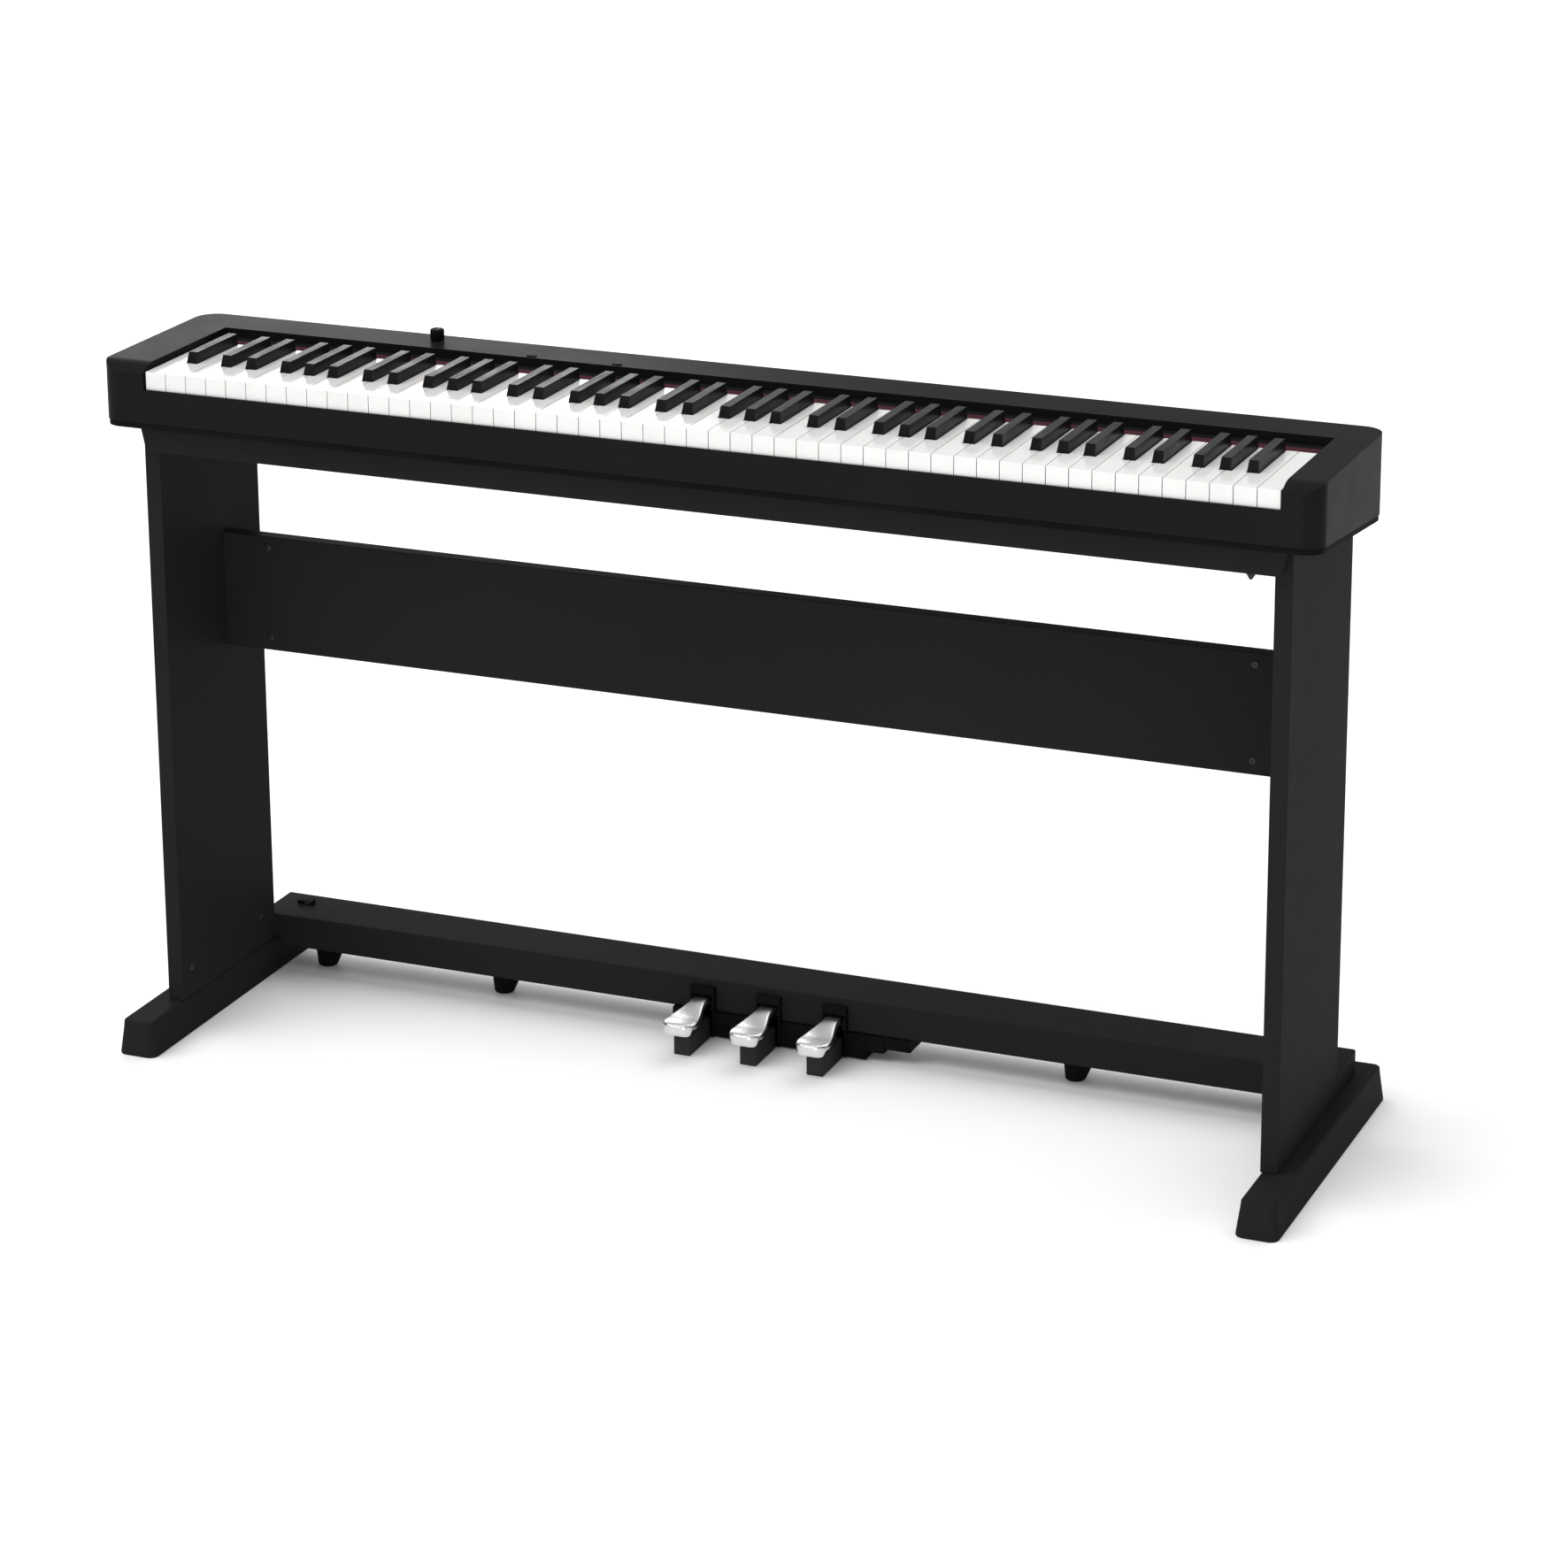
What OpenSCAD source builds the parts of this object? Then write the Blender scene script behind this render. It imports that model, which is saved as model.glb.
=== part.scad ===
// Digital piano on a furniture stand: a slim case with a full keyboard, a stand of two side
// panels on feet, a back panel, a cross beam behind and a unit with three pedals.
// X runs from bass to treble, Y from the player to the back, Z up from the floor.

/* [Case] */
// Width of the case
case_w = 1322; // [1290:1:1600]
// Depth of the case
case_d = 232; // [215:1:300]
// Height of the case at the front
case_front_h = 68.5; // [60:0.5:85]
// Height of the case at the back
case_rear_h = 91.5; // [84:0.5:115]
// Corner radius of the case seen from above
case_r = 24; // [10:1:40]
// Wall of the mouldings
wall = 3.5; // [2.5:0.5:5]
// Height of the tray that shows below the seam
seam_h = 6.5; // [4:0.5:10]
// How far the tray sits in from the case's sides
seam_inset = 1; // [1:0.5:3]
// Depth of the control strip behind the keys
strip_d = 54; // [48:1:62]
// How far the end blocks drop at the front
block_drop = 8; // [0:0.5:10]

/* [Keys] */
// Width from one white key to the next
key_pitch = 23.6; // [20:0.1:23.8]
// Gap between neighbouring white keys
key_gap = 0.9; // [0.6:0.1:1.5]
// Keyboard's centre towards the treble
key_offset = 7.5; // [0:0.5:12]
// Visible length of a white key
white_l = 138; // [120:1:148]
// Height of a white key's front
white_h = 19.5; // [18:0.5:24]
// How far the white tops lie below the case top
key_drop = 7; // [4:0.5:9]
// Visible length of a black key
black_l = 89; // [75:1:98]
// Width of a black key at its foot
black_w = 11.8; // [9:0.1:12.5]
// Height of a black key above the white ones
black_h = 11.5; // [8:0.5:13]
// Sideways shift of the outer black keys in the group of two
shift_two = 2.8; // [0:0.1:4]
// Sideways shift of the outer black keys in the group of three
shift_three = 4; // [0:0.1:4.5]
// Radius of the shaft that the keys turn on
shaft_r = 2; // [1.5:0.1:2.5]

/* [Controls] */
// Radius of the volume knob
knob_r = 7.5; // [5:0.5:9]
// Height of the volume knob
knob_h = 12; // [6:0.5:16]
// Knob's place from the case's centre
knob_x = -371; // [-500:1:-300]
// Width of a button
button_w = 10; // [6:0.5:14]
// Travel of a button
button_travel = 0.8; // [0.4:0.1:1.2]

/* [Stand] */
// Outer distance across the side panels
stand_w = 1254; // [1240:1:1300]
// Thickness of the boards
board_t = 18; // [15:1:25]
// Depth of a side panel
panel_d = 210; // [180:1:230]
// Height of a side panel at its rear edge
panel_h = 624; // [500:1:760]
// Panel's front edge behind the case's front
panel_y = 30; // [26:1:60]
// Height of the back panel
back_h = 128; // [80:1:300]
// Back panel's lower edge above the floor
back_z = 409; // [250:1:450]
// Back panel's front face behind the case's front
back_y = 155.5; // [120:0.5:180]
// Height of the front rail
rail_h = 26; // [16:1:30]
// Thickness of the front rail
rail_t = 12; // [9:1:15]
// Depth of the cross beam
beam_d = 70; // [64:1:90]
// Height of the cross beam
beam_h = 36.5; // [36:0.5:60]
// Beam's underside above the floor
beam_z = 29.5; // [28:0.5:40]

/* [Feet] */
// Length of a foot on the floor
foot_l = 392; // [360:1:480]
// Width of a foot on the floor
foot_w = 45; // [40:1:60]
// Height of a foot
foot_h = 39; // [30:1:60]
// How much narrower a foot is at its top, each side
foot_draft = 5; // [0:0.5:8]
// Foot's front end ahead of the case's front
foot_front = 44; // [20:1:80]
// Foot's outer edge beyond the side panel
foot_out = 23; // [10:1:28]

/* [Pedals] */
// Distance from pedal to pedal
pedal_gap = 77; // [60:0.5:85]
// Middle pedal's place from the stand's centre
pedal_x = -6; // [-60:1:60]
// Width of a pedal's tip
pedal_w = 38; // [30:1:46]
// Width of a pedal's stem
stem_w = 20; // [14:1:22]
// How far a pedal reaches out of the beam
pedal_reach = 80; // [60:1:95]
// Thickness of a pedal
pedal_t = 8; // [6:0.5:9]
// Underside of a pedal's tip above the floor
pedal_z = 34; // [32:0.5:36]
// How far a pedal's tip lies below its stem
pedal_fall = 6; // [0:0.5:7]
// Radius of the pedals' axle
axle_r = 3; // [2:0.5:4]

/* [Hidden] */
$fn = 48;
eps = 0.01;
fit = 0.05;                                     // radial clearance of a running fit
part_gap = 0.5;                                 // clearance between moving and fixed parts
plate_t = 2;                                    // steel plates of the brackets
seat_gap = 3.7;                                 // between the side panels' tops and the case

y_mid = foot_l / 2 - foot_front;                // middle of the depth, moved to the origin
panel_y1 = panel_y + panel_d;
case_slope = (case_rear_h - case_front_h) / case_d;
case_bot = foot_h + panel_h + seat_gap + case_slope * panel_y1;
case_top = case_bot + case_front_h;
function under_z(y) = case_bot - case_slope * y;
function seat_z(y) = under_z(y) - seat_gap;

slip_t = 2.5;                                   // thickness of the key slip's upper edge
key_y0 = slip_t + part_gap;                     // front of the white keys
key_top = case_top - key_drop;
key_y1 = key_y0 + white_l;                      // where the playing surface ends
black_y0 = key_y1 - black_l;                    // front of the black keys
strip_y = case_d - strip_d;                     // front edge of the control strip
white_n = 52;
keys_n = 88;
row_w = white_n * key_pitch;
row_x0 = key_offset - row_w / 2;
side_gap = 1.5;                                 // between the keyboard and the end blocks
tail_drop = 6;                                  // key tails below the playing surface
tail_h = 12;
pivot_y = case_d - 20;
pivot_z = key_top - tail_drop - tail_h / 2;
pivot_wall = 6;                                 // tail behind the shaft's centre
body_h = 16;                                    // height of a key behind its lip
lip_t = 2.5;
skin_t = 2;                                     // walls of the hollow keys
black_draft = 1;                                // black key narrower at the top, each side
black_lean = 4;                                 // black front leans back
narrow_gap = 1;                                 // between black keys and the white ones
tail_trim = 1.5;                                // white tails narrowed each side for the ribs
rib_t = 2.5;
key_dip = 10;                                   // travel of a white key at its front
felt_t = 2;
felt_drop = 0.5;                                // felt below the white key tops
felt_gap = 2;                                   // between the keys and the felt
felt_d = 15;
ledge_t = 1.6;
strip_wall = 3;
chassis_t = 1.6;
chassis_z = key_top - body_h - 28;              // underside of the key chassis
chassis_y0 = wall + 4;
chassis_rail_z = key_top - body_h - key_dip - 2; // top of the rail under the keys' fronts
board_pcb_t = 1.6;
opening_x0 = row_x0 - side_gap;
opening_x1 = row_x0 + row_w + side_gap;

panel_x = stand_w / 2 - board_t;                // inner face of a side panel
rail_z = case_bot - case_slope * panel_y - 0.5 - rail_h;
beam_y1 = panel_y1 + beam_d;
bracket_in = 53;                                // bracket plate's reach inside the panel
bracket_flange = 12;
pad_r = 9;
pad_x = panel_x - 23;
pad_y = [60, case_d - 27];
foot_r = 10;
foot_top_r = 7;
foot_x = stand_w / 2 + foot_out - foot_w / 2;   // centre line of a foot
glide_r = 18;
glide_y = panel_y1 + beam_d / 2;
glide_x = [336, 557];

slot_w = stem_w + 4;                            // slots for the pedals in the beam
slot_top = 49.5;
pedal_y0 = panel_y1 - pedal_reach;              // front of the pedals
axle_y = panel_y1 + 44;
axle_z = 20;
unit_w = 226;                                   // pedal unit's width
unit_d = 60;
unit_z = 2;
hood_w = slot_w + 4;
hood_top = 58.5;
tip_r = 15;                                     // corners of a pedal's tip
lip_drop = 6;                                   // pedal's front lip below its underside
stop_w = 19;
stop_top = 25;
heel_w = stem_w - 3;

panel_k = "#242426";
case_k = "#2b2b2d";

// ---- keyboard layout ----------------------------------------------------------------------

function note(k) = (k + 9) % 12;
function is_black(k) = len(search(note(k), [1, 3, 6, 8, 10])) > 0;
function whites_before(k) = len([for (i = [0:1:k - 1]) if (!is_black(i)) i]);
function black_shift(n) =
    n == 1 ? -shift_two : n == 3 ? shift_two : n == 6 ? -shift_three : n == 10 ? shift_three : 0;
function black_x(k) = row_x0 + whites_before(k) * key_pitch + black_shift(note(k));
function white_x0(k) = row_x0 + whites_before(k) * key_pitch + key_gap / 2;
function white_x1(k) = white_x0(k) + key_pitch - key_gap;
function narrow_x0(k) =
    k > 0 && is_black(k - 1) ? black_x(k - 1) + black_w / 2 + narrow_gap : white_x0(k);
function narrow_x1(k) =
    k < keys_n - 1 && is_black(k + 1) ? black_x(k + 1) - black_w / 2 - narrow_gap : white_x1(k);

// ---- helpers ------------------------------------------------------------------------------

// Moves the depth's middle to the origin.
module placed() {
    translate([0, -y_mid, 0]) children();
}

// A block between two corners.
module span(a, b) {
    translate(a) cube(b - a);
}

// A side view given as [y, z] points, drawn out along X.
module profile(x0, x1, points) {
    translate([x0, 0, 0]) rotate([90, 0, 90]) linear_extrude(x1 - x0) polygon(points);
}

// A rounded rectangle standing on z0, with its front at y0.
module rounded_block(w, y0, y1, r, z0, z1) {
    translate([0, 0, z0]) linear_extrude(z1 - z0) {
        translate([-w / 2 + r, y0]) square([w - 2 * r, y1 - y0]);
        translate([-w / 2, y0 + r]) square([w, y1 - y0 - 2 * r]);
        for (x = [-w / 2 + r, w / 2 - r], y = [y0 + r, y1 - r]) translate([x, y]) circle(r);
    }
}

module on_both_sides() {
    children();
    mirror([1, 0, 0]) children();
}

// ---- case ---------------------------------------------------------------------------------

// Everything of the case above the seam, as one solid.
module case_outer() {
    intersection() {
        rounded_block(case_w, 0, case_d, case_r, case_bot - case_rear_h, case_top);
        profile(-case_w, case_w, [
            [-eps, under_z(0) + seam_h], [case_d + eps, under_z(case_d) + seam_h],
            [case_d + eps, case_top],
            for (i = [0:6]) [case_r * (1 - i / 6) - eps, case_top - block_drop * pow(i / 6, 2.2)]
        ]);
    }
}

// The hollow under the case's skin.
module case_hollow() {
    rounded_block(case_w - 2 * wall, wall, case_d - wall, case_r - wall,
        case_bot - case_rear_h, case_top - block_drop - wall);
}

module end_block(x0, x1) {
    difference() {
        intersection() {
            case_outer();
            span([x0, -1, 0], [x1, case_d + 1, case_top + 1]);
        }
        intersection() {
            case_hollow();
            span([x0 == opening_x1 ? x0 + wall : x0 - 1, 0, 0],
                [x0 == opening_x1 ? x1 + 1 : x1 - wall, case_d, case_top]);
        }
    }
}

knob_y = case_d - 21;
knob_shaft_r = 3;
button_x = [-248, -150];
button_y = strip_y + 4.5;
button_d = 4.5;
slot_fit = 0.4;                                 // around the knob's shaft and the buttons
jack_x = -305;
jack_w = 116;
jack_z = under_z(case_d) + 29;                  // middle of the sockets

// The control strip and its front wall with the felt's ledge.
module strip(x0, x1) {
    ledge_z = key_top - felt_drop - felt_t;
    span([x0, strip_y, case_top - strip_wall], [x1, case_d, case_top]);
    span([x0, strip_y, ledge_z - ledge_t], [x1, strip_y + strip_wall, case_top]);
    span([x0, key_y1 + felt_gap, ledge_z - ledge_t], [x1, strip_y + strip_wall, ledge_z]);
}

// The front wall below the keys.
module slip(x0, x1) {
    slip_top = key_top - white_h + part_gap;
    profile(x0, x1, [
        [0, under_z(0) + seam_h], [wall, under_z(wall) + seam_h],
        [wall, slip_top - 12], [slip_t, slip_top - 8], [slip_t, slip_top], [0, slip_top]
    ]);
}

// The one moulding that shows above the seam: end blocks, control strip and key slip.
module upper_case() {
    color(case_k) placed() difference() {
        union() {
            end_block(-case_w / 2 - 1, opening_x0);
            end_block(opening_x1, case_w / 2 + 1);
            strip(opening_x0 - 1, opening_x1 + 1);
            slip(opening_x0 - 1, opening_x1 + 1);
        }
        for (x = button_x)
            span([x - button_w / 2 - slot_fit, button_y - slot_fit, case_top - wall - 1],
                [x + button_w / 2 + slot_fit, button_y + button_d + slot_fit, case_top + 1]);
        translate([knob_x, knob_y, case_top - wall - 1])
            cylinder(r = knob_shaft_r + slot_fit, h = wall + 2);
    }
}

// The rear cover between the end blocks, in two lengths with the socket panel between them.
module case_back() {
    parts = [[opening_x0, jack_x - jack_w / 2], [jack_x + jack_w / 2, opening_x1]];
    color(case_k) placed() for (ends = parts)
        profile(ends[0], ends[1], [
            [case_d - wall, under_z(case_d - wall) + seam_h], [case_d, under_z(case_d) + seam_h],
            [case_d, case_top - strip_wall], [case_d - wall, case_top - strip_wall]
        ]);
}

speaker_w = 120;
speaker_x = row_w / 2 - abs(key_offset) - side_gap - wall - speaker_w / 2 - 41.1;
speaker_y = [146, 206];

// The tray that closes the case from below, with slots under the speakers.
module lower_case() {
    inset = seam_inset;
    color("#1d1d1f") placed() difference() {
        intersection() {
            rounded_block(case_w - 2 * inset, inset, case_d - inset, case_r - inset,
                case_bot - case_rear_h, case_top);
            profile(-case_w, case_w, [
                [0, under_z(0)], [case_d, under_z(case_d)],
                [case_d, under_z(case_d) + seam_h], [0, under_z(0) + seam_h]
            ]);
        }
        intersection() {
            rounded_block(case_w - 2 * inset - 2 * wall, inset + wall, case_d - inset - wall,
                case_r - inset - wall, case_bot - case_rear_h, case_top);
            profile(-case_w, case_w, [
                [0, under_z(0) + 3], [case_d, under_z(case_d) + 3],
                [case_d, case_top], [0, case_top]
            ]);
        }
        for (side = [-1, 1], i = [0:7])
            span([side * speaker_x - 44 + i * 12, speaker_y[0] + 8, case_bot - case_rear_h],
                [side * speaker_x - 40 + i * 12, speaker_y[1] - 8, case_bot + 5]);
    }
}

// One rubber pad between a bracket's plate and the tray, sloped like both.
module case_foot(x, y) {
    intersection() {
        translate([x, y, case_bot - case_rear_h]) cylinder(r = pad_r, h = case_rear_h);
        profile(x - pad_r, x + pad_r, [
            [y - pad_r, seat_z(y - pad_r) + plate_t], [y + pad_r, seat_z(y + pad_r) + plate_t],
            [y + pad_r, under_z(y + pad_r)], [y - pad_r, under_z(y - pad_r)]
        ]);
    }
}

module case_feet() {
    color("#161616") placed() for (side = [-1, 1], y = pad_y) case_foot(side * pad_x, y);
}

// An oval speaker lying face down on the tray.
module speaker(x) {
    floor_z = under_z(speaker_y[0]) + 3;
    mid = (speaker_y[0] + speaker_y[1]) / 2;
    half = (speaker_y[1] - speaker_y[0]) / 2;
    union() {
        difference() {
            span([x - speaker_w / 2, speaker_y[0], floor_z],
                [x + speaker_w / 2, speaker_y[1], floor_z + 3]);
            translate([x, mid, floor_z - 1]) cylinder(r = half - 8, h = 5);
        }
        translate([x, mid, floor_z + 3]) cylinder(r1 = half - 4, r2 = 16, h = 10);
        translate([x, mid, floor_z + 13]) cylinder(r = 19, h = 8);
    }
}

module speaker_left() {
    color("#3a3a3a") placed() speaker(-speaker_x);
}

module speaker_right() {
    color("#3a3a3a") placed() speaker(speaker_x);
}

phones_dx = [-46, -30];
jack_r = 3.2;

// The socket panel: two phones, one for data, one for the pedal unit and one for power.
module jack_block() {
    depth = 18;
    x = [jack_x - jack_w / 2 + 0.4, jack_x + jack_w / 2 - 0.4];
    base_z = under_z(case_d - depth) + seam_h + 0.4;
    color("#141414") placed() difference() {
        union() {
            span([x[0], case_d - depth, base_z], [x[1], case_d - 0.3, chassis_z - 0.5]);
            span([x[0], case_d - wall, base_z],
                [x[1], case_d - 0.3, case_top - strip_wall - 0.4]);
        }
        for (dx = [phones_dx[0], phones_dx[1], 44])
            translate([jack_x + dx, case_d + 1, jack_z]) rotate([90, 0, 0]) cylinder(r = jack_r, h = 16);
        span([jack_x - 14, case_d - 14, jack_z - 5.5], [jack_x - 2, case_d, jack_z + 5.5]);
        span([jack_x + 10, case_d - 14, jack_z - 4], [jack_x + 28, case_d, jack_z + 4]);
    }
}

// ---- controls -----------------------------------------------------------------------------

board_z = case_top - strip_wall - 7;

// The printed board under the strip, with the volume control and two switches.
module control_board() {
    color("#1f5a35") placed() {
        difference() {
            span([knob_x - 30, strip_y + strip_wall + 1, board_z],
                [button_x[1] + 25, case_d - wall - 1, board_z + board_pcb_t]);
            translate([knob_x, knob_y, board_z - 1]) cylinder(r = 1.5, h = 4);
        }
        translate([knob_x, knob_y, board_z + board_pcb_t])
            difference() {
                cylinder(r = 6.5, h = 4.2);
                translate([0, 0, -1]) cylinder(r = knob_shaft_r + fit, h = 8);
            }
        for (x = button_x)
            span([x - 3, button_y + 1, board_z + board_pcb_t],
                [x + 3, button_y + button_d - 1, board_z + board_pcb_t + 1.4]);
    }
}

module button(x) {
    foot_z = board_z + board_pcb_t + 1.4 + button_travel + 0.3;
    span([x - button_w / 2, button_y, foot_z], [x + button_w / 2, button_y + button_d, case_top + 1]);
}

module power_button() {
    color("#38383a") placed() button(button_x[0]);
}

module function_button() {
    color("#38383a") placed() button(button_x[1]);
}

// Knob with a pointer groove, on a round shaft.
module volume_knob() {
    color("#1a1a1a") placed() translate([knob_x, knob_y, 0]) {
        difference() {
            translate([0, 0, case_top + 0.4]) cylinder(r = knob_r, h = knob_h);
            translate([-0.5, 1, case_top + knob_h - 0.4]) cube([1, knob_r, 2]);
        }
        translate([0, 0, board_z + board_pcb_t + 0.5])
            cylinder(r = knob_shaft_r, h = case_top - board_z - board_pcb_t);
    }
}

// ---- keyboard -----------------------------------------------------------------------------

module shaft_bore(x0, x1) {
    translate([x0 - 1, pivot_y, pivot_z]) rotate([0, 90, 0]) cylinder(r = shaft_r + fit, h = x1 - x0 + 2);
}

module white_key(k) {
    x0 = white_x0(k);
    x1 = white_x1(k);
    n0 = narrow_x0(k);
    n1 = narrow_x1(k);
    head_y1 = black_y0 - narrow_gap;
    tail_top = key_top - tail_drop;
    difference() {
        union() {
            span([x0, key_y0, key_top - body_h], [x1, head_y1, key_top]);
            span([x0, key_y0, key_top - white_h], [x1, key_y0 + lip_t, key_top]);
            span([n0, head_y1 - eps, key_top - body_h], [n1, key_y1, key_top]);
            span([n0 + tail_trim, key_y1 - eps, tail_top - tail_h],
                [n1 - tail_trim, pivot_y + pivot_wall, tail_top]);
        }
        span([x0 + skin_t, key_y0 + lip_t, key_top - body_h - 1],
            [x1 - skin_t, head_y1 - skin_t, key_top - skin_t]);
        shaft_bore(n0, n1);
    }
}

module black_key(k) {
    x = black_x(k);
    half = black_w / 2;
    top_z = key_top + black_h;
    tail_top = key_top - tail_drop;
    difference() {
        union() {
            intersection() {
                profile(x - half, x + half, [
                    [black_y0, key_top - body_h + 2], [key_y1, key_top - body_h + 2],
                    [key_y1, top_z], [black_y0 + black_lean, top_z], [black_y0, key_top + 1]
                ]);
                translate([0, key_y1, 0]) rotate([90, 0, 0]) linear_extrude(black_l) polygon([
                    [x - half, 0], [x + half, 0], [x + half, key_top],
                    [x + half - black_draft, top_z], [x - half + black_draft, top_z],
                    [x - half, key_top]
                ]);
            }
            span([x - half + 0.5, key_y1 - eps, tail_top - tail_h],
                [x + half - 0.5, pivot_y + pivot_wall, tail_top]);
        }
        shaft_bore(x - half, x + half);
    }
}

// All the keys of one colour from the first to the last given.
module keys(first, last, black) {
    for (k = [first:last])
        if (is_black(k) == black) {
            if (black) black_key(k);
            else white_key(k);
        }
}

module white_set(first, last) {
    color("#f4f3ee") placed() keys(first, last, false);
}

module black_set(first, last) {
    color("#202022") placed() keys(first, last, true);
}

module white_keys_1() { white_set(0, 14); }
module white_keys_2() { white_set(15, 26); }
module white_keys_3() { white_set(27, 38); }
module white_keys_5() { white_set(51, 62); }
module white_keys_6() { white_set(63, 74); }
module white_keys_7() { white_set(75, 87); }
module black_keys_1() { black_set(0, 14); }
module black_keys_2() { black_set(15, 26); }
module black_keys_3() { black_set(27, 38); }
module black_keys_5() { black_set(51, 62); }
module black_keys_6() { black_set(63, 74); }
module black_keys_7() { black_set(75, 87); }
module key_c4() { white_set(39, 39); }
module key_c_sharp4() { black_set(40, 40); }
module key_d4() { white_set(41, 41); }
module key_d_sharp4() { black_set(42, 42); }
module key_e4() { white_set(43, 43); }
module key_f4() { white_set(44, 44); }
module key_f_sharp4() { black_set(45, 45); }
module key_g4() { white_set(46, 46); }
module key_g_sharp4() { black_set(47, 47); }
module key_a4() { white_set(48, 48); }
module key_a_sharp4() { black_set(49, 49); }
module key_b4() { white_set(50, 50); }

// Middles of the ribs that carry the shaft: the ends, and wherever two white keys meet.
function rib_places() = concat(
    [row_x0 - part_gap - rib_t / 2 + tail_trim],
    [for (k = [1:keys_n - 1]) if (!is_black(k) && !is_black(k - 1)) white_x0(k) - key_gap / 2],
    [row_x0 + row_w + part_gap + rib_t / 2 - tail_trim]
);

module key_chassis() {
    rail_top = chassis_rail_z;
    shelf_z = chassis_z + chassis_t;
    y0 = chassis_y0;
    y1 = case_d - wall - 2;
    color("#8a8d90") placed() difference() {
        union() {
            span([opening_x0 + 3, y0, chassis_z], [opening_x1 - 3, y1, shelf_z]);
            span([opening_x0 + 3, y0 + 12, shelf_z - eps], [opening_x1 - 3, y0 + 20, rail_top]);
            for (x = rib_places())
                span([x - rib_t / 2, pivot_y - 9, shelf_z - eps],
                    [x + rib_t / 2, pivot_y + 5, pivot_z + 5]);
            for (x = [opening_x0 + 9, -speaker_x + 90, speaker_x - 90, opening_x1 - 9])
                span([x - 4, y0 + 12, under_z(y0 + 12) + 3.2],
                    [x + 4, y0 + 20, chassis_z + eps]);
        }
        translate([opening_x0, pivot_y, pivot_z]) rotate([0, 90, 0])
            cylinder(r = shaft_r, h = opening_x1 - opening_x0);
    }
}

module key_shaft() {
    color("silver") placed() translate([row_x0 - 1.2, pivot_y, pivot_z]) rotate([0, 90, 0])
        cylinder(r = shaft_r, h = row_w + 2.4);
}

module key_felt() {
    y0 = key_y1 + felt_gap;
    color("#6b1f2a") placed() span([opening_x0 + 0.4, y0, key_top - felt_drop - felt_t],
        [opening_x1 - 0.4, y0 + felt_d, key_top - felt_drop]);
}

// The felt on the chassis that stops the white keys from below.
module key_stop_felt() {
    color("#6b1f2a") placed() span([row_x0, chassis_y0 + 13, chassis_rail_z],
        [row_x0 + row_w, chassis_y0 + 19, chassis_rail_z + 1.2]);
}

// The contact board on the chassis with its two rows of rubber domes as strips.
module sensor_board() {
    z = chassis_z + chassis_t;
    color("#2c6b42") placed() {
        span([row_x0, 70, z], [row_x0 + row_w, 118, z + board_pcb_t]);
        for (y = [80, 100]) span([row_x0 + 2, y, z + board_pcb_t - eps],
            [row_x0 + row_w - 2, y + 8, z + board_pcb_t + 4]);
    }
}

// The main circuit board, standing on the tray in front of the sockets.
module main_board() {
    z = under_z(speaker_y[0]) + 8;
    x0 = speaker_w / 2 + 25 - speaker_x;
    x1 = x0 + 220;
    color("#1f5a35") placed() {
        span([x0, speaker_y[0], z], [x1, speaker_y[1], z + board_pcb_t]);
        for (x = [x0 + 8, x1 - 8], y = [speaker_y[0] + 8, speaker_y[1] - 8])
            span([x - 3, y - 3, under_z(y - 3) + 3.2], [x + 3, y + 3, z + eps]);
        for (x = [x0 + 40, x0 + 95, x0 + 150]) span([x, speaker_y[0] + 16, z + board_pcb_t - eps],
            [x + 24, speaker_y[0] + 40, z + board_pcb_t + 3]);
    }
}

// ---- stand --------------------------------------------------------------------------------

// A side panel, its top edge sloped like the case above it.
module side_panel(side) {
    x = side > 0 ? panel_x : -panel_x - board_t;
    profile(x, x + board_t, [[panel_y, foot_h], [panel_y1, foot_h], [panel_y1, seat_z(panel_y1)],
        [panel_y, seat_z(panel_y)]]);
}

module side_panel_left() {
    color(panel_k) placed() side_panel(-1);
}

module side_panel_right() {
    color(panel_k) placed() side_panel(1);
}

module back_panel() {
    color(panel_k) placed()
        span([-panel_x, back_y, back_z], [panel_x, back_y + board_t - 0.5, back_z + back_h]);
}

// The rail under the case's front, its ends slanted inwards at the bottom.
module front_rail() {
    top = stand_w / 2 - 3;
    color(panel_k) placed() translate([0, panel_y, rail_z]) rotate([90, 0, 0]) linear_extrude(rail_t)
        polygon([[-top + 10, 0], [top - 10, 0], [top - 5, 3], [top, rail_h], [-top, rail_h],
            [-top + 5, 3]]);
}

// A small pointed hook under the rail at the treble end.
module rail_hook() {
    color("#2a2a2c") placed() translate([stand_w / 2 - 40, panel_y - 4, rail_z]) rotate([90, 0, 0])
        linear_extrude(3) polygon([[-5.5, 0], [-1, -7], [1, -7], [5.5, 0]]);
}

// Steel angle on the panel's top edge: a sloped plate under the case and a flange inside.
module bracket(side) {
    x_in = side * (panel_x - bracket_in);
    x_out = side * (panel_x + board_t);
    face = side * panel_x;
    y0 = panel_y + 1;
    y1 = case_d - 8;
    profile(min(x_in, x_out), max(x_in, x_out), [[y0, seat_z(y0)], [y1, seat_z(y1)],
        [y1, seat_z(y1) + plate_t], [y0, seat_z(y0) + plate_t]]);
    profile(min(face, face - side * plate_t), max(face, face - side * plate_t), [
        [y0, seat_z(y0) - bracket_flange], [y1, seat_z(y1) - bracket_flange],
        [y1, seat_z(y1) + eps], [y0, seat_z(y0) + eps]
    ]);
}

module bracket_left() {
    color("#3c3c3e") placed() bracket(-1);
}

module bracket_right() {
    color("#3c3c3e") placed() bracket(1);
}

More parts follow.
